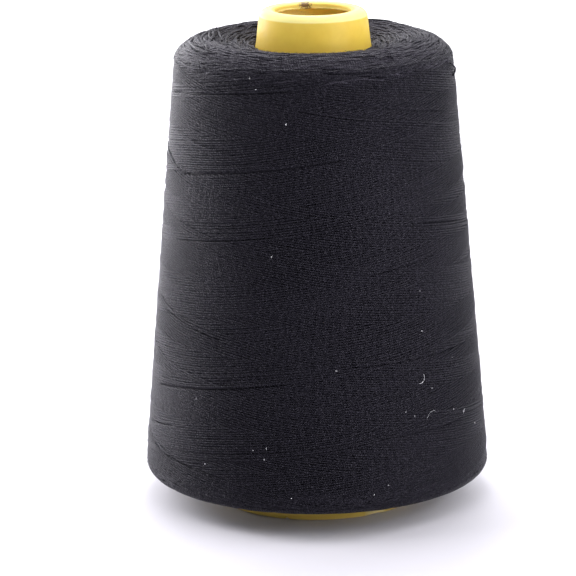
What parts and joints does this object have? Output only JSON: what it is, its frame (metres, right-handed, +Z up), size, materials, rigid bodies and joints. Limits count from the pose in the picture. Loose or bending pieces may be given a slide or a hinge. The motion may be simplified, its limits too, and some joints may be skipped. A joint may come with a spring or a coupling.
{
  "type": "spool of thread",
  "caption": "Hollow tapered plastic cone with a rounded open nose and a foot ring, carrying a cross-wound package of black sewing thread that pays off over the nose.",
  "frame": {"origin": "centre of the foot ring, on the surface that the cone stands on", "axes": "+Z up along the spindle axis, from the wide foot to the nose; X and Y are free, because the part is round"},
  "size_m": [0.0792, 0.0792, 0.113],
  "materials": {
    "cone_plastic": "moulded yellow plastic, semi-gloss, slightly worn",
    "thread_black": "spun polyester sewing thread, matt with a slight sheen and fine fuzz"
  },
  "bodies": {
    "root": {"cone_core": "cone_plastic", "thread_package": "thread_black"}
  },
  "joints": []
}
